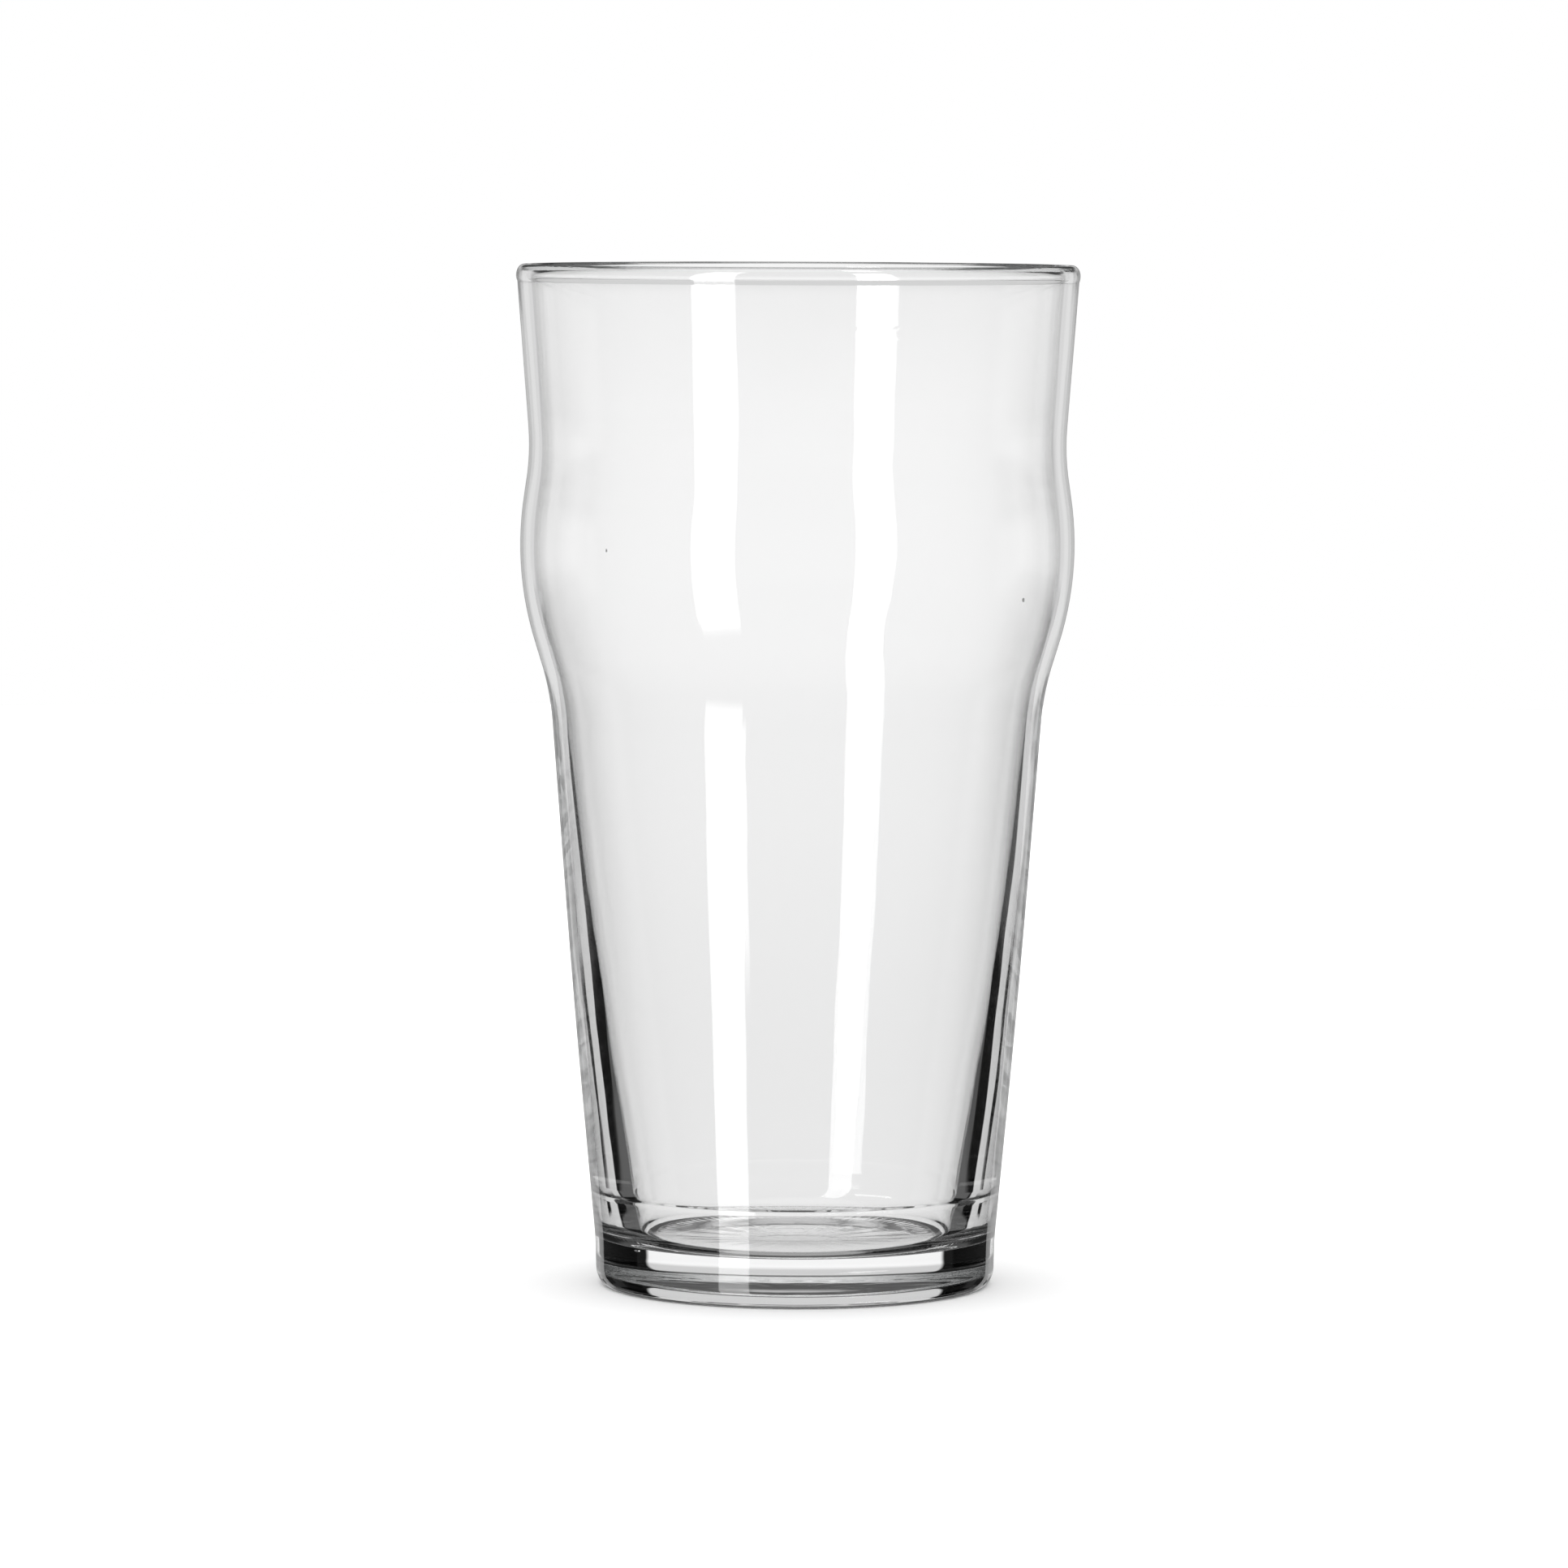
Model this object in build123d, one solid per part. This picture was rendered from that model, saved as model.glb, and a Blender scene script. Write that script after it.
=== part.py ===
from build123d import *

import os
from dataclasses import dataclass

# Pint glass of the bulged pub shape, made of one piece of clear soda-lime glass.
#
# Units are millimetres. The origin is the centre of the foot, on the plane that the glass
# stands on, and +Z runs up the glass's own axis. The whole glass is one closed section,
# turned about that axis: foot, heel, tapered wall, bulge, waist, rim bead, inside wall,
# floor and the hollow under the foot.
#
# Each side of the wall is a chain of straight runs. Where two runs would meet in a corner,
# a parabola tangent to both rounds it, so a corner is given by its radius from the axis, its
# height above the table and its reach: how far along each run the bend starts and ends.


@dataclass(frozen=True)
class Corner:
    """Where two straight runs of a wall would meet, and how far the bend reaches."""

    radius: float
    height: float
    reach: float = 0.0


# Overall sizes
GLASS_HEIGHT = 149.0

# Foot: the heel is a quarter ellipse between the wall and the ring the glass stands on
HEEL_WIDTH = 1.5
HEEL_HEIGHT = 2.8
FOOT_RADIUS = 29.14
BEARING_INNER_RADIUS = 22.4
HOLLOW_DEPTH = 0.5

# Outside wall, from the heel up to the bead
OUTER_WALL = [
    Corner(FOOT_RADIUS, HEEL_HEIGHT),
    Corner(29.24, 6.7, reach=1.0),
    Corner(32.53, 42.0, reach=16.5),
    Corner(35.98, 86.9, reach=4.3),
    Corner(41.45, 104.55, reach=11.0),
    Corner(38.9, 121.55, reach=3.9),
]

# Rim: a fire-polished bead, a little proud of the outside wall
BEAD_RADIUS = 41.0
BEAD_HALF_WIDTH = 1.16
BEAD_HALF_HEIGHT = 1.6
BEAD_CREASE_BEND = 0.3
WALL_TOP_HEIGHT = GLASS_HEIGHT - BEAD_HALF_HEIGHT
WALL_TOP_OUTER_RADIUS = 40.91

# Inside wall, from the floor up to the bead, and the slightly dished floor
FLOOR_HEIGHT = 6.7
FLOOR_DISH = 0.05
FLOOR_EDGE_RADIUS = 19.6
INNER_WALL = [
    Corner(FLOOR_EDGE_RADIUS, FLOOR_HEIGHT),
    Corner(22.85, FLOOR_HEIGHT, reach=3.2),
    Corner(29.6, 48.0, reach=16.0),
    Corner(34.0, 86.3, reach=4.4),
    Corner(39.3, 104.5, reach=10.6),
    Corner(36.75, 121.5, reach=4.1),
]


def rounded_wall(corners):
    """Join the corners with straight runs, and round each one but the two ends."""
    points = [Vector(corner.radius, corner.height) for corner in corners]
    edges = []
    run_start = points[0]
    for before, point, after, corner in zip(points, points[1:], points[2:], corners[1:]):
        bend_start = point + (before - point).normalized() * corner.reach
        bend_end = point + (after - point).normalized() * corner.reach
        edges.append(Line(run_start, bend_start))
        edges.append(Bezier(bend_start, point, bend_end))
        run_start = bend_end
    edges.append(Line(run_start, points[-1]))
    return Wire(edges)


def crown(centre_height, edge_radius, edge_height):
    """Parabola that is level at the axis and ends at a given radius and height."""
    level_point = (edge_radius / 2, centre_height)
    return Bezier((0, centre_height), level_point, (edge_radius, edge_height))


def wall_section():
    """Section of the glass below the bead, as a face beside the axis."""
    bead_inner_radius = BEAD_RADIUS - 2 * BEAD_HALF_WIDTH
    outside = rounded_wall([*OUTER_WALL, Corner(WALL_TOP_OUTER_RADIUS, WALL_TOP_HEIGHT)])
    inside = rounded_wall([*INNER_WALL, Corner(bead_inner_radius, WALL_TOP_HEIGHT)])
    floor_centre = FLOOR_HEIGHT - FLOOR_DISH
    floor = crown(floor_centre, FLOOR_EDGE_RADIUS, FLOOR_HEIGHT)
    bearing_outer_radius = FOOT_RADIUS - HEEL_WIDTH
    heel_centre = (bearing_outer_radius, HEEL_HEIGHT)
    heel = EllipticalCenterArc(heel_centre, HEEL_WIDTH, HEEL_HEIGHT, 270, arc_size=90)
    bearing_ring = Line((BEARING_INNER_RADIUS, 0), (bearing_outer_radius, 0))
    hollow = crown(HOLLOW_DEPTH, BEARING_INNER_RADIUS, 0)
    axis_run = Line((0, HOLLOW_DEPTH), (0, floor_centre))
    wall_top = Line(inside @ 1, outside @ 1)
    outline = [axis_run, hollow, bearing_ring, heel, *outside.edges(), wall_top]
    return make_face([*outline, *inside.edges(), floor])


def corner_nearest(section, radius, height):
    """The section's corner that lies nearest to a given place."""
    return section.vertices().sort_by_distance((radius, height))[0]


def glass_section():
    """Whole section: the wall with the bead on its top, and the crease under it rounded."""
    bead_centre = (BEAD_RADIUS - BEAD_HALF_WIDTH, WALL_TOP_HEIGHT)
    bead = Pos(*bead_centre) * Ellipse(BEAD_HALF_WIDTH, BEAD_HALF_HEIGHT)
    section = wall_section() + bead
    bead_bottom = WALL_TOP_HEIGHT - BEAD_HALF_HEIGHT
    crease = corner_nearest(section, WALL_TOP_OUTER_RADIUS, bead_bottom)
    return fillet(crease, BEAD_CREASE_BEND)


def glass_body():
    """The glass itself: its section turned once about its axis."""
    return revolve(Plane.XZ * glass_section(), Axis.Z)


def main():
    """Build the glass, say what it holds and write its file."""
    os.makedirs("parts", exist_ok=True)
    glass = glass_body()
    export_step(glass, "parts/glass_body.step")
    print(f"glass_body: {glass.volume / 1000:.1f} ml of glass, valid {glass.is_valid}")
    print(f"size {glass.bounding_box().size}")


main()
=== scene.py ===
"""Looks of the pint glass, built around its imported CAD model.

The glass is one closed skin of clear glass. Its outline is carried once round the axis on a
grid of angle and place along the outline, and small errors of a real blown glass are added
to that grid: a ripple on the inside wall, a fine ring left low on that wall by the forming
tool, stippling on the ring the glass stands on, a ring of dashes in the hollow under the
foot, and a few seeds, which are tiny voids in the glass.

The studio is a bright field: a white backdrop, dark flags that draw the glass's edges, and
one tall soft light at the front left. That one light draws both long highlights down the
wall: the left one off the front, and the right one off the inside of the back.
"""

import logging
import math
from dataclasses import dataclass, field, replace
from enum import Enum

import bpy
import numpy as np
from mathutils import Euler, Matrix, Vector


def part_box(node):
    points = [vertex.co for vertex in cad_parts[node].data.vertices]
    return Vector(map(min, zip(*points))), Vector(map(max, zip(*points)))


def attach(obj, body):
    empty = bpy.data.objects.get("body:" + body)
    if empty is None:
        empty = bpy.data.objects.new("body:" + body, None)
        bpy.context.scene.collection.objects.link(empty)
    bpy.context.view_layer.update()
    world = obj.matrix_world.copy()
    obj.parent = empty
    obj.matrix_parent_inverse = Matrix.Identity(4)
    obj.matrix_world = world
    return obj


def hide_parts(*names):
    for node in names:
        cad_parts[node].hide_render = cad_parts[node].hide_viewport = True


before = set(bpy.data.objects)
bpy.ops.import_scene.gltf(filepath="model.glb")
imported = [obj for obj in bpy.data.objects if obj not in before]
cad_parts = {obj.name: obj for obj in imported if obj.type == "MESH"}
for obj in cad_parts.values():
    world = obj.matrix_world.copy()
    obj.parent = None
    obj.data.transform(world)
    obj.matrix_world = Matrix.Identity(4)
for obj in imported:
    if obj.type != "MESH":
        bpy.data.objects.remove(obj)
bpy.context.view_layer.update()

BODY = "root"
NODE = "glass_body"
MM = 0.001

log = logging.getLogger("pint_glass")


# ---------------------------------------------------------------- node trees


class Operation(Enum):
    """What a Math node does with its inputs."""

    ADD = "ADD"
    SUBTRACT = "SUBTRACT"
    MULTIPLY = "MULTIPLY"
    DIVIDE = "DIVIDE"
    POWER = "POWER"
    MAXIMUM = "MAXIMUM"
    ARCTAN2 = "ARCTAN2"


class Value:
    """A number that a node tree works out, with Python's operators adding Math nodes."""

    def __init__(self, tree: "Tree", socket: bpy.types.NodeSocket) -> None:
        """Keeps the socket and the tree that new nodes are added to."""
        self.tree = tree
        self.socket = socket

    def _math(self, operation: Operation, *values: "Value | float") -> "Value":
        """Adds one Math node.

        Args:
            operation: what the node does.
            values: its inputs in order, each a Value or a plain number.

        Returns:
            The node's result.
        """
        settings = {"operation": operation.value}
        return self.tree.add("ShaderNodeMath", settings, dict(enumerate(values))).value(0)

    def __add__(self, other: "Value | float") -> "Value":
        """This plus other."""
        return self._math(Operation.ADD, self, other)

    __radd__ = __add__

    def __sub__(self, other: "Value | float") -> "Value":
        """This minus other."""
        return self._math(Operation.SUBTRACT, self, other)

    def __rsub__(self, other: float) -> "Value":
        """The other number minus this."""
        return self._math(Operation.SUBTRACT, other, self)

    def __mul__(self, other: "Value | float") -> "Value":
        """This times other."""
        return self._math(Operation.MULTIPLY, self, other)

    __rmul__ = __mul__

    def __truediv__(self, other: "Value | float") -> "Value":
        """This divided by other."""
        return self._math(Operation.DIVIDE, self, other)

    def __pow__(self, power: float) -> "Value":
        """This to a power."""
        return self._math(Operation.POWER, self, power)

    def highest(self, other: "Value | float") -> "Value":
        """The larger of this and other."""
        return self._math(Operation.MAXIMUM, self, other)

    def angle_over(self, level: "Value") -> "Value":
        """Angle, in radians, whose tangent is this over level."""
        return self._math(Operation.ARCTAN2, self, level)

    def step(self, low: float, high: float) -> "Value":
        """Smooth step of this.

        Args:
            low: where the step is 0.
            high: where the step is 1; it may be less than low, for a falling step.

        Returns:
            0 to 1, with a smooth start and end.
        """
        settings = {"interpolation_type": "SMOOTHSTEP", "clamp": True}
        inputs = {"Value": self, "From Min": low, "From Max": high}
        return self.tree.add("ShaderNodeMapRange", settings, inputs).value("Result")


class Node:
    """A node just added, with its outputs ready to be linked."""

    def __init__(self, tree: "Tree", node: bpy.types.Node) -> None:
        """Keeps the node and its tree."""
        self.tree = tree
        self.node = node

    def value(self, output: int | str = 0) -> Value:
        """One of the node's outputs as a Value."""
        return Value(self.tree, self.node.outputs[output])

    def socket(self, output: int | str = 0) -> bpy.types.NodeSocket:
        """One of the node's outputs as a plain socket."""
        return self.node.outputs[output]


class Tree:
    """A node tree that is emptied and then filled by add."""

    def __init__(self, owner: bpy.types.Material | bpy.types.World) -> None:
        """Empties the owner's node tree.

        Args:
            owner: the material or world whose nodes are made.
        """
        owner.use_nodes = True
        self.nodes = owner.node_tree.nodes
        self.links = owner.node_tree.links
        self.nodes.clear()

    def add(self, kind: str, settings: dict | None = None, inputs: dict | None = None) -> Node:
        """Adds one node.

        Args:
            kind: the node's type name.
            settings: the node's own properties, which are set first.
            inputs: values or links by socket name or number.

        Returns:
            The new node.
        """
        node = self.nodes.new(kind)
        for name, setting in (settings or {}).items():
            setattr(node, name, setting)
        for name, given in (inputs or {}).items():
            source = given.socket if isinstance(given, Value) else given
            if isinstance(source, bpy.types.NodeSocket):
                self.links.new(source, node.inputs[name])
            else:
                node.inputs[name].default_value = source
        return Node(self, node)

    def mixed(self, factor: Value, first: object, second: object) -> bpy.types.NodeSocket:
        """Mixes two colours.

        Args:
            factor: how much of the second colour there is, from 0 to 1.
            first: the first colour, four numbers or a socket.
            second: the second colour, four numbers or a socket.

        Returns:
            The mixed colour's socket.
        """
        settings = {"data_type": "RGBA", "blend_type": "MIX"}
        node = self.add("ShaderNodeMix", settings, {0: factor, 6: first, 7: second})
        return node.socket(2)

    def noise(self, place: object, scale: float, detail: float) -> Value:
        """Noise about 0.5 at a place.

        Args:
            place: the socket of the point where the noise is read.
            scale: lumps per metre.
            detail: how many finer layers are added.

        Returns:
            The noise's value.
        """
        inputs = {"Vector": place, "Scale": scale, "Detail": detail}
        return self.add("ShaderNodeTexNoise", None, inputs).value(0)


# ------------------------------------------------------------------ finishes


def grey(tone: float) -> tuple[float, float, float, float]:
    """An even grey of a given linear tone, as a colour with full alpha."""
    return (tone, tone, tone, 1.0)


@dataclass(frozen=True)
class ClearGlass:
    """Clear soda-lime glass, fire-polished, with the faint errors of a blown wall."""

    ior: float = 1.52
    roughness: float = 0.0
    tint: tuple[float, float, float, float] = (1.0, 1.0, 1.0, 1.0)
    absorbed_tint: tuple[float, float, float, float] = (0.895, 0.9, 0.9, 1.0)
    absorption_per_metre: float = 8.0
    wave_scale: float = 42.0
    wave_detail: float = 1.0
    wave_height_m: float = 0.00012
    cord_scale: float = 260.0
    cord_detail: float = 2.0
    cord_stretch: float = 0.06
    cord_height_m: float = 0.000012

    def material(self) -> bpy.types.Material:
        """Builds the material.

        The wall's broad waves and its finer cords, drawn out along the height, are one
        bump. Thick glass takes a little light away, which is the volume's plain absorption.

        Returns:
            The finished material.
        """
        made = bpy.data.materials.new("clear_soda_lime_glass")
        tree = Tree(made)
        place = tree.add("ShaderNodeTexCoord").socket("Object")
        stretch = {"Vector": place, "Scale": (1, 1, self.cord_stretch)}
        drawn = tree.add("ShaderNodeMapping", None, stretch).socket()
        waves = tree.noise(place, self.wave_scale, self.wave_detail) * self.wave_height_m
        cords = tree.noise(drawn, self.cord_scale, self.cord_detail) * self.cord_height_m
        relief = {"Height": (waves + cords) / MM, "Distance": MM, "Strength": 1.0}
        bump = tree.add("ShaderNodeBump", None, relief)
        shader = tree.add(
            "ShaderNodeBsdfPrincipled",
            None,
            {
                "Base Color": self.tint,
                "Roughness": self.roughness,
                "IOR": self.ior,
                "Transmission Weight": 1.0,
                "Normal": bump.socket(),
            },
        )
        inside = tree.add(
            "ShaderNodeVolumeAbsorption",
            None,
            {"Color": self.absorbed_tint, "Density": self.absorption_per_metre},
        )
        surface, volume = shader.socket(), inside.socket()
        tree.add("ShaderNodeOutputMaterial", None, {"Surface": surface, "Volume": volume})
        return made


@dataclass(frozen=True)
class PaleFloor:
    """A plain pale floor of fine matt paper."""

    tone: float = 0.9
    mottle: float = 0.01
    mottle_scale: float = 900.0
    mottle_detail: float = 3.0
    roughness: float = 0.9

    def material(self) -> bpy.types.Material:
        """Builds the material: an even pale grey with a hardly visible paper mottle."""
        made = bpy.data.materials.new("pale_paper_floor")
        tree = Tree(made)
        place = tree.add("ShaderNodeTexCoord").socket("Object")
        speck = tree.noise(place, self.mottle_scale, self.mottle_detail)
        darker = grey(self.tone * (1 - self.mottle))
        colour = tree.mixed(speck, grey(self.tone), darker)
        inputs = {"Base Color": colour, "Roughness": self.roughness, "Specular IOR Level": 0.0}
        shader = tree.add("ShaderNodeBsdfPrincipled", None, inputs).socket()
        tree.add("ShaderNodeOutputMaterial", None, {"Surface": shader})
        return made


# ------------------------------------------------------------------- outline


@dataclass(frozen=True)
class Corner:
    """Where two straight runs of a wall would meet, in millimetres.

    reach is how far along each run the bend that rounds the corner starts and ends.
    """

    radius: float
    height: float
    reach: float = 0.0

    @property
    def point(self) -> np.ndarray:
        """The corner as an array of radius and height."""
        return np.array([self.radius, self.height])


# Places along one straight run or bend, from its start to its end.
FINE = np.linspace(0.0, 1.0, 160)
# Steps of a path that are shorter than this are left out.
SHORTEST_STEP_MM = 1e-6


def straight(start: np.ndarray, end: np.ndarray) -> np.ndarray:
    """Points of the run p = start + t (end - start), for t from 0 to 1."""
    return start + FINE[:, None] * (end - start)


def parabola(start: np.ndarray, corner: np.ndarray, end: np.ndarray) -> np.ndarray:
    """Points of the bend p = (1-t)^2 start + 2t(1-t) corner + t^2 end."""
    t = FINE[:, None]
    return (1 - t) ** 2 * start + 2 * t * (1 - t) * corner + t**2 * end


def ellipse(centre: np.ndarray, half: np.ndarray, first: float, last: float) -> np.ndarray:
    """Points of the arc p = centre + half * (cos a, sin a), for a from first to last."""
    angle = first + FINE * (last - first)
    return centre + half * np.stack([np.cos(angle), np.sin(angle)], axis=1)


def rounded(corners: list[Corner]) -> np.ndarray:
    """Straight runs between corners, each corner but the two ends rounded by a parabola.

    Args:
        corners: the corners in order, with the two ends.

    Returns:
        Points along the wall, as rows of radius and height.
    """
    stretches = []
    start = corners[0].point
    for before, here, after in zip(corners, corners[1:], corners[2:]):
        back = before.point - here.point
        ahead = after.point - here.point
        bend_start = here.point + back / np.linalg.norm(back) * here.reach
        bend_end = here.point + ahead / np.linalg.norm(ahead) * here.reach
        stretches += [straight(start, bend_start), parabola(bend_start, here.point, bend_end)]
        start = bend_end
    stretches.append(straight(start, corners[-1].point))
    return np.concatenate(stretches)


def thinned(path: np.ndarray, count: int, run_mm: float, turn_deg: float) -> np.ndarray:
    """Picks points along a fine path, close together where it bends.

    A step costs its length over run_mm plus its turn over turn_deg, and the points are
    spread evenly over the total cost.

    Args:
        path: fine points, as rows of radius and height.
        count: how many points to keep.
        run_mm: the step that one point is worth on a straight run.
        turn_deg: the turn that one point is worth in a bend.

    Returns:
        The chosen points, both ends among them.
    """
    step = np.diff(path, axis=0)
    length = np.linalg.norm(step, axis=1)
    path = path[np.concatenate([[True], length > SHORTEST_STEP_MM])]
    step = np.diff(path, axis=0)
    length = np.linalg.norm(step, axis=1)
    heading = np.unwrap(np.arctan2(step[:, 1], step[:, 0]))
    turn = np.abs(np.gradient(heading))
    cost = np.concatenate([[0.0], np.cumsum(length / run_mm + np.degrees(turn) / turn_deg)])
    wanted = np.linspace(0.0, cost[-1], count)
    return np.stack([np.interp(wanted, cost, path[:, i]) for i in (0, 1)], axis=1)


# ---------------------------------------------------------------- glass body


@dataclass
class Seed:
    """A tiny gas bubble left in the glass: where it is, and its half sizes, in millimetres."""

    place: tuple[float, float, float]
    half: tuple[float, float, float]


@dataclass(frozen=True)
class Wave:
    """One wave of the ripple: share * cos(turns v + per_mm z + phase), in radians."""

    share: float
    turns: int
    per_mm: float
    phase: float

    def angle(self, v: np.ndarray, z: np.ndarray) -> np.ndarray:
        """The wave's angle at angle v round the axis and height z."""
        return self.turns * v + self.per_mm * z + self.phase


@dataclass
class GlassBody:
    """The whole glass as one closed skin. Sizes are in millimetres."""

    height: float = 149.0
    heel_width: float = 1.5
    heel_height: float = 2.8
    foot_radius: float = 29.14
    bearing_inner_radius: float = 22.4
    hollow_depth: float = 0.5
    bead_radius: float = 41.0
    bead_half_width: float = 1.16
    bead_half_height: float = 1.6
    bead_start_inset: float = 0.09
    wall_top_outer_radius: float = 40.91
    floor_height: float = 6.7
    floor_dish: float = 0.05
    floor_edge_radius: float = 19.6
    outer_wall: list[Corner] = field(
        default_factory=lambda: [
            Corner(29.14, 2.8),
            Corner(29.24, 6.7, 1.0),
            Corner(32.53, 42.0, 16.5),
            Corner(35.98, 86.9, 4.3),
            Corner(41.45, 104.55, 11.0),
            Corner(38.9, 121.55, 3.9),
        ]
    )
    inner_wall: list[Corner] = field(
        default_factory=lambda: [
            Corner(19.6, 6.7),
            Corner(22.85, 6.7, 3.2),
            Corner(29.6, 48.0, 16.0),
            Corner(34.0, 86.3, 4.4),
            Corner(39.3, 104.5, 10.6),
            Corner(36.75, 121.5, 4.1),
        ]
    )
    around: int = 399
    along: int = 240
    run_mm: float = 3.4
    turn_deg: float = 2.6
    ripple_mm: float = 0.035
    ripple_above_floor: float = 3.0
    ripple_foot_fade: float = 15.0
    ripple_below_rim: float = 4.0
    ripple_rim_fade: float = 12.0
    ripple_waves: tuple[Wave, ...] = (
        Wave(0.42, 2, 0.021, 0.4),
        Wave(0.3, 3, -0.035, 2.1),
        Wave(0.22, 5, 0.06, 4.0),
        Wave(0.12, 9, -0.09, 1.2),
        Wave(0.1, 14, 0.12, 0.0),
    )
    stipple_teeth: int = 133
    stipple_fewer_teeth: int = 38
    stipple_row_shift: float = 2.4
    stipple_row_curl: float = 1.7
    stipple_depth_mm: float = 0.1
    stipple_inner_margin: float = 0.5
    stipple_outer_margin: float = 0.1
    stipple_highest: float = 0.05
    tool_ring_height: float = 13.8
    tool_ring_half_width: float = 0.32
    tool_ring_depth_mm: float = 0.05
    dash_ring_radius: float = 11.6
    dash_ring_half_width: float = 0.55
    dash_count: int = 21
    dash_height_mm: float = 0.09
    dash_bias: float = 0.5
    dash_sharpness: float = 1.4
    dash_highest: float = 2.0
    under_share: int = 3
    seed_rings: int = 6
    seed_spokes: int = 10
    seeds: list[Seed] = field(
        default_factory=lambda: [
            Seed((-14.6, 4.0, 5.6), (0.32, 0.26, 0.2)),
            Seed((31.6, -19.2, 101.5), (0.16, 0.16, 0.3)),
            Seed((-26.6, -28.0, 108.6), (0.14, 0.14, 0.26)),
        ]
    )

    def bead_outline(self) -> np.ndarray:
        """The rim bead's arc, from the outside wall over the top to the inside wall.

        The bead is an ellipse about a point of the wall's top. It starts where the ellipse
        stands out of the outside wall, a little below its middle.
        """
        half = np.array([self.bead_half_width, self.bead_half_height])
        centre = np.array([self.bead_radius, self.height]) - half
        start_radius = self.wall_top_outer_radius - self.bead_start_inset
        slope = math.acos((start_radius - centre[0]) / half[0])
        return ellipse(centre, half, -slope, math.pi)

    def outline(self) -> np.ndarray:
        """The closed section from the hollow's centre, round the glass, to the floor's centre.

        The tool ring is a ridge of Gauss section that stands in from the inside wall:
        depth * exp(-d^2), where d is the height from its middle over its half width.

        Returns:
            Rows of radius and height, in millimetres, both ends on the axis.
        """
        origin = np.array([0.0, self.hollow_depth])
        hollow_edge = np.array([self.bearing_inner_radius, 0.0])
        ring_end = np.array([self.foot_radius - self.heel_width, 0.0])
        hollow = parabola(origin, np.array([hollow_edge[0] / 2, self.hollow_depth]), hollow_edge)
        heel_centre = np.array([ring_end[0], self.heel_height])
        heel_half = np.array([self.heel_width, self.heel_height])
        heel = ellipse(heel_centre, heel_half, -math.pi / 2, 0.0)
        bead = self.bead_outline()
        outside = rounded([*self.outer_wall, Corner(bead[0, 0], bead[0, 1])])
        inside = rounded([*self.inner_wall, Corner(bead[-1, 0], bead[-1, 1])])[::-1]
        from_ring = (inside[:, 1] - self.tool_ring_height) / self.tool_ring_half_width
        inside[:, 0] -= self.tool_ring_depth_mm * np.exp(-(from_ring**2))
        floor_centre = np.array([0.0, self.floor_height - self.floor_dish])
        floor_edge = np.array([self.floor_edge_radius, self.floor_height])
        floor_level = np.array([self.floor_edge_radius / 2, floor_centre[1]])
        floor = parabola(floor_edge, floor_level, floor_centre)
        ring = straight(hollow_edge, ring_end)
        return np.concatenate([hollow, ring, heel, outside, bead, inside, floor])

    def skin(self) -> np.ndarray:
        """The skin as a grid of points.

        A point of the grid is (r cos v, r sin v, z), where (r, z) is a point of the outline
        and v is the angle. Three errors are added to r or z before that:
        the inside wall's ripple, a sum of a few waves in v and z;
        the stippling of the ring, dents of depth * (1/2 + a/4 + b/4), where a and b are
        cosines in v of two tooth counts that shift from row to row;
        and the hollow's ring of dashes, a ridge of Gauss section cut up by a cosine in v.

        Returns:
            An array of rows along the outline, columns round the axis, and x, y, z.
        """
        outline = thinned(self.outline(), self.along, self.run_mm, self.turn_deg)
        v = np.arange(self.around) / self.around * 2 * math.pi
        r = np.repeat(outline[:, :1], self.around, axis=1)
        z = np.repeat(outline[:, 1:], self.around, axis=1)
        rows = np.arange(self.along)[:, None]
        ripple_start = self.floor_height + self.ripple_above_floor
        ripple_end = self.height - self.ripple_below_rim
        inside = (rows > rows[outline[:, 1].argmax()]) & (z > ripple_start)
        foot_fade = np.clip((z - ripple_start) / self.ripple_foot_fade, 0, 1)
        rim_fade = np.clip((ripple_end - z) / self.ripple_rim_fade, 0, 1)
        ripple = sum(wave.share * np.cos(wave.angle(v, z)) for wave in self.ripple_waves)
        r = r + inside * (foot_fade * rim_fade) * self.ripple_mm * ripple
        ring_low = self.bearing_inner_radius + self.stipple_inner_margin
        ring_high = self.foot_radius - self.heel_width - self.stipple_outer_margin
        on_ring = (r > ring_low) & (r < ring_high) & (z < self.stipple_highest)
        coarse = np.cos(self.stipple_teeth * v + self.stipple_row_shift * rows)
        fine_teeth = self.stipple_teeth - self.stipple_fewer_teeth
        fine = np.cos(fine_teeth * v - self.stipple_row_curl * rows**2)
        teeth = 0.5 + 0.25 * coarse + 0.25 * fine
        z = z + on_ring * self.stipple_depth_mm * teeth
        under = (rows < self.along // self.under_share) & (z < self.dash_highest)
        from_dashes = (r - self.dash_ring_radius) / self.dash_ring_half_width
        cut = self.dash_bias + self.dash_sharpness * np.cos(self.dash_count * v)
        ridge = np.exp(-(from_dashes**2)) * under
        z = z - ridge * self.dash_height_mm * np.clip(cut, 0, 1)
        return np.stack([r * np.cos(v), r * np.sin(v), z], axis=2)

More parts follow.
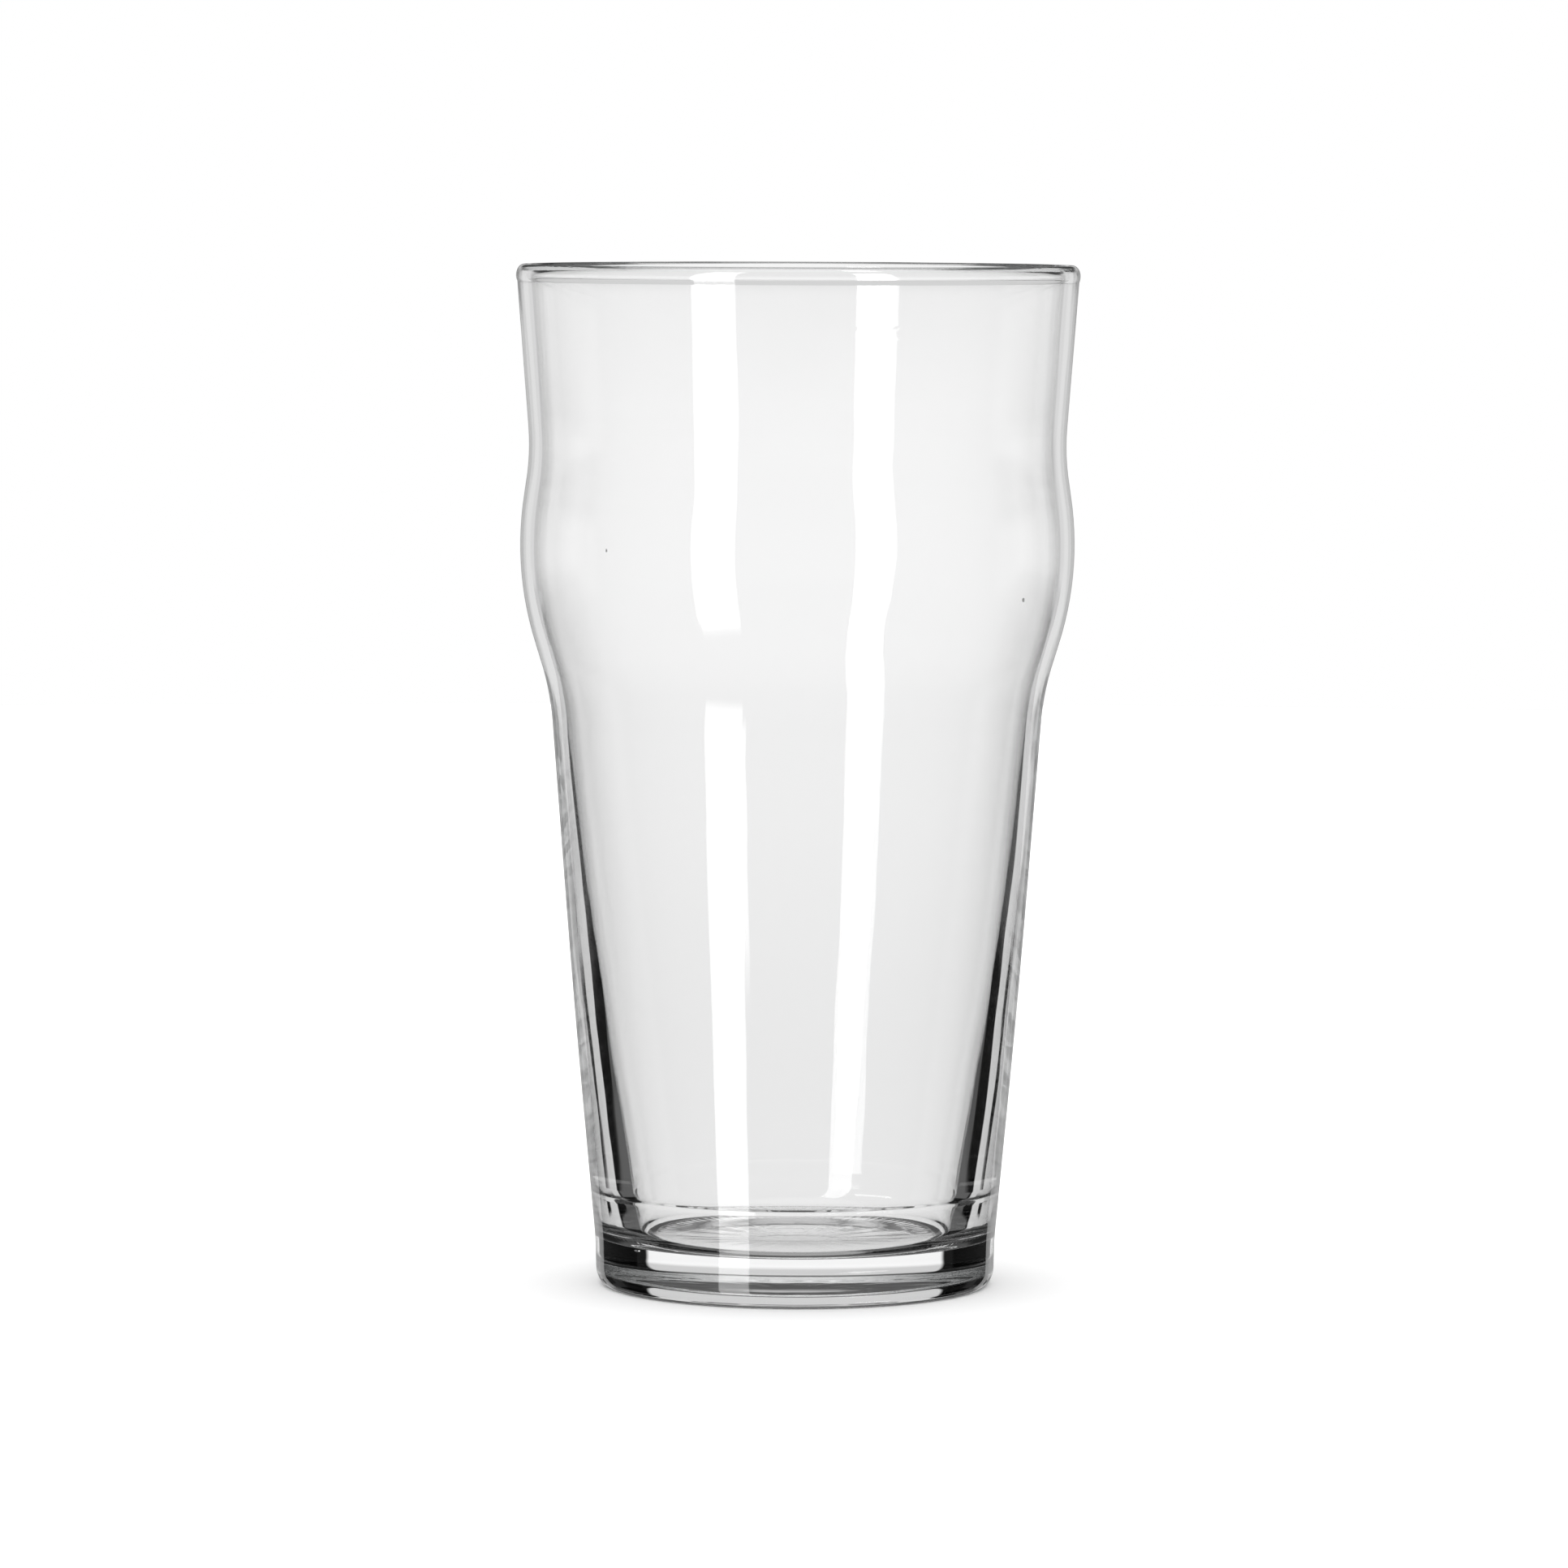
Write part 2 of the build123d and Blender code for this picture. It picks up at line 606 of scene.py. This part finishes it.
    def seed_shell(self, seed: Seed) -> tuple[np.ndarray, np.ndarray]:
        """A void's shell: place + half * (sin u cos v, sin u sin v, cos u), facing its middle.

        Args:
            seed: where the bubble is and how large.

        Returns:
            The points, and the faces as rows of four point numbers.
        """
        rings, spokes = self.seed_rings, self.seed_spokes
        u = ((np.arange(rings) + 1) / (rings + 1) * math.pi)[:, None]
        v = np.arange(spokes) / spokes * 2 * math.pi
        level = np.cos(u) * np.ones(spokes)
        unit = np.stack([np.sin(u) * np.cos(v), np.sin(u) * np.sin(v), level], axis=2)
        unit = unit.reshape(-1, 3)
        poles = np.array([[0, 0, 1.0], [0, 0, -1.0]])
        points = np.array(seed.place) + np.array(seed.half) * np.concatenate([unit, poles])
        return points, closed_grid(rings, spokes, outward=False)

    def build(self) -> bpy.types.Object:
        """Builds the glass's mesh object, scaled to the frame's own height, with its finish."""
        low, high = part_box(NODE)
        scale = (high.z - low.z) / self.height
        grid = self.skin()
        middle = grid[1:-1].reshape(-1, 3)
        poles = np.array([grid[-1].mean(axis=0), grid[0].mean(axis=0)])
        points = [np.concatenate([middle, poles])]
        faces = [closed_grid(self.along - 2, self.around, outward=True)]
        for seed in self.seeds:
            shell_points, shell_faces = self.seed_shell(seed)
            faces.append(shell_faces + sum(len(p) for p in points))
            points.append(shell_points)
        place = np.concatenate(points) * scale + np.array([0.0, 0.0, low.z])
        piece = mesh_object("pint_glass_body", place, np.concatenate(faces))
        piece.data.materials.append(ClearGlass().material())
        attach(piece, BODY)
        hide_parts(NODE)
        return piece


def closed_grid(rows: int, columns: int, outward: bool) -> np.ndarray:
    """Faces of a grid that is closed round its columns and capped by two poles.

    Point i * columns + j is row i, column j. The pole past the last row is point
    rows * columns, and the pole before the first row is the one after it.

    Args:
        rows: how many rings of points there are.
        columns: how many points are on each ring.
        outward: which way round the faces go.

    Returns:
        Rows of four point numbers, in which a triangle repeats its last one.
    """
    i, j = np.meshgrid(np.arange(rows - 1), np.arange(columns), indexing="ij")
    ahead = (j + 1) % columns
    here, above = i * columns, (i + 1) * columns
    quads = np.stack([here + j, here + ahead, above + ahead, above + j], axis=2).reshape(-1, 4)
    j = np.arange(columns)
    ahead = (j + 1) % columns
    last = (rows - 1) * columns
    top = np.full(columns, rows * columns)
    bottom = top + 1
    end_cap = np.stack([last + j, last + ahead, top, top], axis=1)
    start_cap = np.stack([ahead, j, bottom, bottom], axis=1)
    faces = np.concatenate([quads, end_cap, start_cap])
    return faces if outward else faces[:, [1, 0, 3, 2]]


def mesh_object(name: str, points: np.ndarray, faces: np.ndarray) -> bpy.types.Object:
    """Makes a smooth mesh object from arrays.

    Args:
        name: the object's name.
        points: rows of x, y, z, in metres.
        faces: rows of four point numbers, in which a triangle repeats one.

    Returns:
        The new object, at the origin.
    """
    mesh = bpy.data.meshes.new(name)
    rows = [tuple(dict.fromkeys(row)) for row in faces.tolist()]
    mesh.from_pydata(points.tolist(), [], rows)
    mesh.validate()
    mesh.polygons.foreach_set("use_smooth", np.ones(len(mesh.polygons), bool))
    mesh.update()
    made = bpy.data.objects.new(name, mesh)
    bpy.context.scene.collection.objects.link(made)
    return made


# -------------------------------------------------------------------- studio


@dataclass(frozen=True)
class Direction:
    """A direction in a world's node tree.

    across and ahead are its x and y over its level length, and height is its angle above
    the horizon in degrees.
    """

    across: Value
    ahead: Value
    height: Value


@dataclass(frozen=True)
class Band:
    """A patch of the studio's surround, seen from the glass.

    Angles are in degrees. A heading of 0 is straight behind the glass, and 90 is to the
    right of it; heights are above the horizon. A half width of 180 goes all the way round.
    """

    heading: float
    half_width: float
    lowest: float
    highest: float
    tone: float
    side_soft: float = 2.0
    end_soft: float = 4.0

    def mask(self, direction: Direction) -> Value:
        """How much a direction lies in the band, from 0 to 1.

        The direction's heading is compared with the band's by the cosine between them,
        which needs no care at the turn from 180 to -180 degrees.

        Args:
            direction: the direction that is looked in.

        Returns:
            The band's mask.
        """
        turn = math.radians(self.heading)
        nearness = direction.across * math.sin(turn) + direction.ahead * math.cos(turn)
        edge = math.cos(math.radians(self.half_width + self.side_soft))
        core = math.cos(math.radians(max(self.half_width - self.side_soft, 0.0)))
        sides = 1.0 if self.half_width >= 180 else nearness.step(edge, core)
        height = direction.height
        foot = height.step(self.lowest - self.end_soft, self.lowest + self.end_soft)
        head = height.step(self.highest + self.end_soft, self.highest - self.end_soft)
        return sides * foot * head


def both_sides(*bands: Band) -> tuple[Band, ...]:
    """Each band, and after it the same band on the other side."""
    return tuple(side for band in bands for side in (band, replace(band, heading=-band.heading)))


def layered(direction: Direction, tone: Value | float, bands: tuple[Band, ...]) -> Value:
    """Lays bands over a tone, each one over those before it.

    Args:
        direction: the direction that is looked in.
        tone: the tone outside every band.
        bands: the bands in order.

    Returns:
        The tone in that direction.
    """
    for band in bands:
        tone = tone + band.mask(direction) * (band.tone - tone)
    return tone


@dataclass
class Studio:
    """The surround, the floor and the camera."""

    # What a camera ray sees past the glass, and what lights the floor.
    shown_tone: float = 1.0
    floor_light: float = 1.6
    # What shows through the glass: the backdrop, a grey strip seen through the foot, the
    # dim room above the backdrop, and the flags that draw the edges.
    high_backdrop_tone: float = 1.08
    low_backdrop_tone: float = 0.95
    backdrop_fades: tuple[float, float] = (-12.0, 0.0)
    foot_view: Band = Band(0, 180, 0.5, 16, 0.7, 0.0, 2.5)
    above_backdrop: Band = Band(0, 180, 16, 90, 0.1, 0.0, 3.0)
    flags: tuple[Band, ...] = both_sides(Band(55.5, 19.2, -20, 50, 0.0, 1.0, 3.0))
    # What the glass mirrors. The room is darkest behind the camera, which keeps the
    # corners of the foot black.
    room_tone: float = 0.1
    dark_room: Band = Band(180, 85, 14, 58, 0.02, 8.0, 3.0)
    mirrored_backdrop: Band = Band(0, 37, -21, 8, 0.74, 3.0, 2.0)
    mirrored_flags: tuple[Band, ...] = both_sides(
        Band(54.5, 21, -90, -6.5, 0.0, 1.0, 1.5),
        Band(54.5, 21, -5.5, 9, 0.45, 2.0, 2.0),
    )
    table: Band = Band(0, 180, -120, -62, 0.35, 0.0, 4.0)
    ceiling: Band = Band(0, 180, 60, 90, 1.0, 0.0, 6.0)
    # Only in a ray's first mirroring: greys that shade the streaks down the sides of the
    # wall, black cards that break those streaks up, and the soft light.
    side_panels: tuple[Band, ...] = (
        Band(0.0, 9.0, -12.8, 4, 0.28, 3.0, 2.0),
        *both_sides(
            Band(15.0, 4.5, -8.5, 4, 0.45, 2.0, 2.0),
            Band(50.0, 6.5, -20, -13.5, 0.12, 1.5, 1.5),
            Band(46.0, 10.0, -25, -19.9, 0.12, 1.5, 0.6),
            Band(28.0, 5.0, -24, -8, 0.75, 1.0, 2.0),
            Band(14.5, 3.5, -14.4, -10, 0.25, 1.0, 1.0),
        ),
    )
    black_cards: tuple[Band, ...] = both_sides(
        Band(39.0, 5.8, -19.8, -12.5, 0.0, 0.8, 0.8),
        Band(19.9, 2.7, -17.5, -13.9, 0.0, 0.8, 0.7),
    )
    light: Band = Band(-144.5, 9.0, -24.0, 50, 5.0, 0.5, 4.0)
    # Light that has been mirrored many times near the horizon has mixed to one tone.
    mixed_tone: float = 0.72
    mixed_after: tuple[float, float] = (14.0, 28.0)
    mixed_below: tuple[float, float] = (14.0, 6.0)
    # Steps of the count of mirrorings: mirrored at all, and mirrored no more than once.
    mirrored_at_all: tuple[float, float] = (0.4, 0.6)
    mirrored_once_only: tuple[float, float] = (1.6, 1.4)
    least_level: float = 1e-6
    floor_radius: float = 1.3
    floor_gap: float = 0.00005
    floor_points: int = 96
    camera_distance: float = 1.164
    camera_height: float = 0.161
    camera_pitch: float = -4.31
    camera_aim_left: float = 0.09
    camera_roll: float = 0.2
    camera_sees_m: tuple[float, float] = (0.05, 50.0)
    lens_mm: float = 183.5
    sensor_mm: float = 36.0
    bounces: int = 160

    def surround(self) -> None:
        """Lights the scene from all round: a white surround, dark flags and one soft light.

        There are separate tones for rays that pass straight through the glass, for rays
        that it mirrors, for the light on the floor and for what the camera sees directly.
        """
        world = bpy.data.worlds.new("studio_surround")
        bpy.context.scene.world = world
        tree = Tree(world)
        toward = tree.add("ShaderNodeTexCoord").socket("Generated")
        split = tree.add("ShaderNodeSeparateXYZ", None, {0: toward})
        x, y, z = split.value(0), split.value(1), split.value(2)
        level = (x * x + y * y).highest(self.least_level) ** 0.5
        height = z.angle_over(level) * math.degrees(1)
        direction = Direction(x / level, y / level, height)
        path = tree.add("ShaderNodeLightPath")
        times_mirrored = path.value("Glossy Depth")

        backdrop_range = self.high_backdrop_tone - self.low_backdrop_tone
        backdrop = self.low_backdrop_tone + height.step(*self.backdrop_fades) * backdrop_range
        in_view = (self.foot_view, self.above_backdrop, *self.flags)
        seen_through = layered(direction, backdrop, in_view)

        room = (
            self.dark_room,
            self.mirrored_backdrop,
            *self.mirrored_flags,
            self.table,
            self.ceiling,
        )
        mirrored = layered(direction, self.room_tone, room)
        lit = layered(direction, mirrored, (*self.side_panels, *self.black_cards, self.light))
        once_only = times_mirrored.step(*self.mirrored_once_only)
        mirrored = mirrored + once_only * (lit - mirrored)
        mixed = times_mirrored.step(*self.mixed_after) * height.step(*self.mixed_below)
        mirrored = mirrored + mixed * (self.mixed_tone - mirrored)

        at_all = times_mirrored.step(*self.mirrored_at_all)
        tone = seen_through + at_all * (mirrored - seen_through)
        tone = tone + path.value("Is Diffuse Ray") * (self.floor_light - tone)
        shown = tone + path.value("Is Camera Ray") * (self.shown_tone - tone)
        lighting = {"Color": grey(1.0), "Strength": shown}
        background = tree.add("ShaderNodeBackground", None, lighting)
        tree.add("ShaderNodeOutputWorld", None, {"Surface": background.socket()})

    def floor(self) -> bpy.types.Object:
        """A round floor just under the glass, made as a fan about its middle.

        Its rim points are (R cos v, R sin v). Mirrored and refracted rays pass it by, so
        that the highlights run on down the glass as they do at a table's edge.

        Returns:
            The floor.
        """
        v = np.arange(self.floor_points) / self.floor_points * 2 * math.pi
        rim = np.stack([np.cos(v), np.sin(v), np.zeros_like(v)], axis=1) * self.floor_radius
        points = np.concatenate([rim, np.zeros((1, 3))]) - np.array([0, 0, self.floor_gap])
        j = np.arange(self.floor_points)
        hub = np.full(self.floor_points, self.floor_points)
        faces = np.stack([j, (j + 1) % self.floor_points, hub, hub], axis=1)
        made = mesh_object("studio_floor", points, faces)
        made.data.materials.append(PaleFloor().material())
        made.visible_glossy = False
        made.visible_transmission = False
        return made

    def camera(self) -> bpy.types.Object:
        """Sets up the camera in front of the glass, a little above its rim."""
        data = bpy.data.cameras.new("studio_camera")
        data.lens = self.lens_mm
        data.sensor_width = self.sensor_mm
        data.clip_start, data.clip_end = self.camera_sees_m
        made = bpy.data.objects.new("studio_camera", data)
        bpy.context.scene.collection.objects.link(made)
        made.location = Vector((0.0, -self.camera_distance, self.camera_height))
        pitch = math.radians(90 + self.camera_pitch)
        tilt = Euler((pitch, 0.0, math.radians(self.camera_aim_left)))
        roll = Euler((0.0, 0.0, math.radians(self.camera_roll)))
        made.rotation_euler = (tilt.to_matrix() @ roll.to_matrix()).to_euler()
        bpy.context.scene.camera = made
        return made

    def rendering(self) -> None:
        """Lets light pass the glass's many walls, and shows tones as they are."""
        scene = bpy.context.scene
        scene.view_settings.view_transform = "Standard"
        scene.view_settings.look = "None"
        scene.cycles.max_bounces = self.bounces
        scene.cycles.transmission_bounces = self.bounces
        scene.cycles.glossy_bounces = self.bounces
        scene.cycles.use_denoising = True

    def build(self) -> None:
        """Builds the surround, the floor and the camera."""
        self.surround()
        self.floor()
        self.camera()
        self.rendering()


# ---------------------------------------------------------------------- main


def report(piece: bpy.types.Object) -> None:
    """Logs one piece's name and size.

    Args:
        piece: the finished piece.
    """
    size = " x ".join(f"{length / MM:.1f}" for length in piece.dimensions)
    log.info("%s: %d faces, %s mm", piece.name, len(piece.data.polygons), size)


def main() -> None:
    """Builds the glass and the studio round it."""
    logging.basicConfig(level=logging.INFO, format="%(name)s %(message)s")
    report(GlassBody().build())
    Studio().build()


if __name__ == "__main__":
    main()
